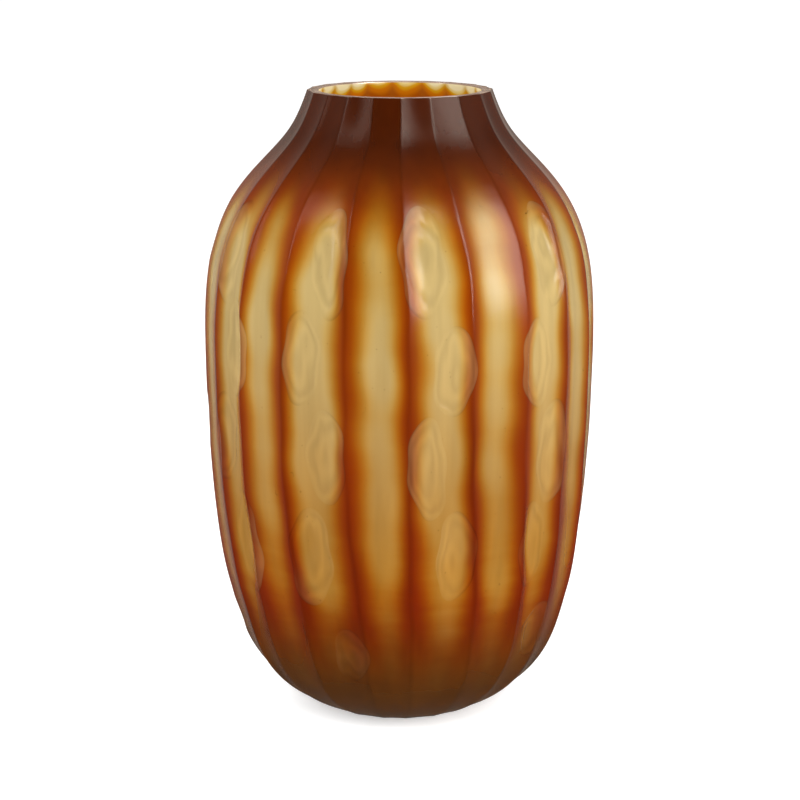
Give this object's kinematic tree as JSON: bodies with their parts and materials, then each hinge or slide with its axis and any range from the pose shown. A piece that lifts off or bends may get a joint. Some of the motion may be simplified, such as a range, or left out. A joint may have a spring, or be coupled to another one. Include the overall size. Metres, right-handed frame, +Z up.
{
  "type": "cased glass vase",
  "caption": "Ovoid hand-blown vase with a short flared neck: honey glass vessel under an amber casing cut by upright flutes, on a small flat foot.",
  "frame": {"origin": "middle of the ground foot, on the surface that the vase stands on", "axes": "+Z up the vase's axis to the rim; the front flute's ridge stands just to +X of -Y"},
  "size_m": [0.1997, 0.1998, 0.32],
  "materials": {
    "honey_glass": "translucent, satin where ground",
    "amber_glass": "translucent, softly polished"
  },
  "bodies": {
    "root": {"inner_vessel": "honey_glass", "amber_casing": "amber_glass"}
  },
  "joints": []
}
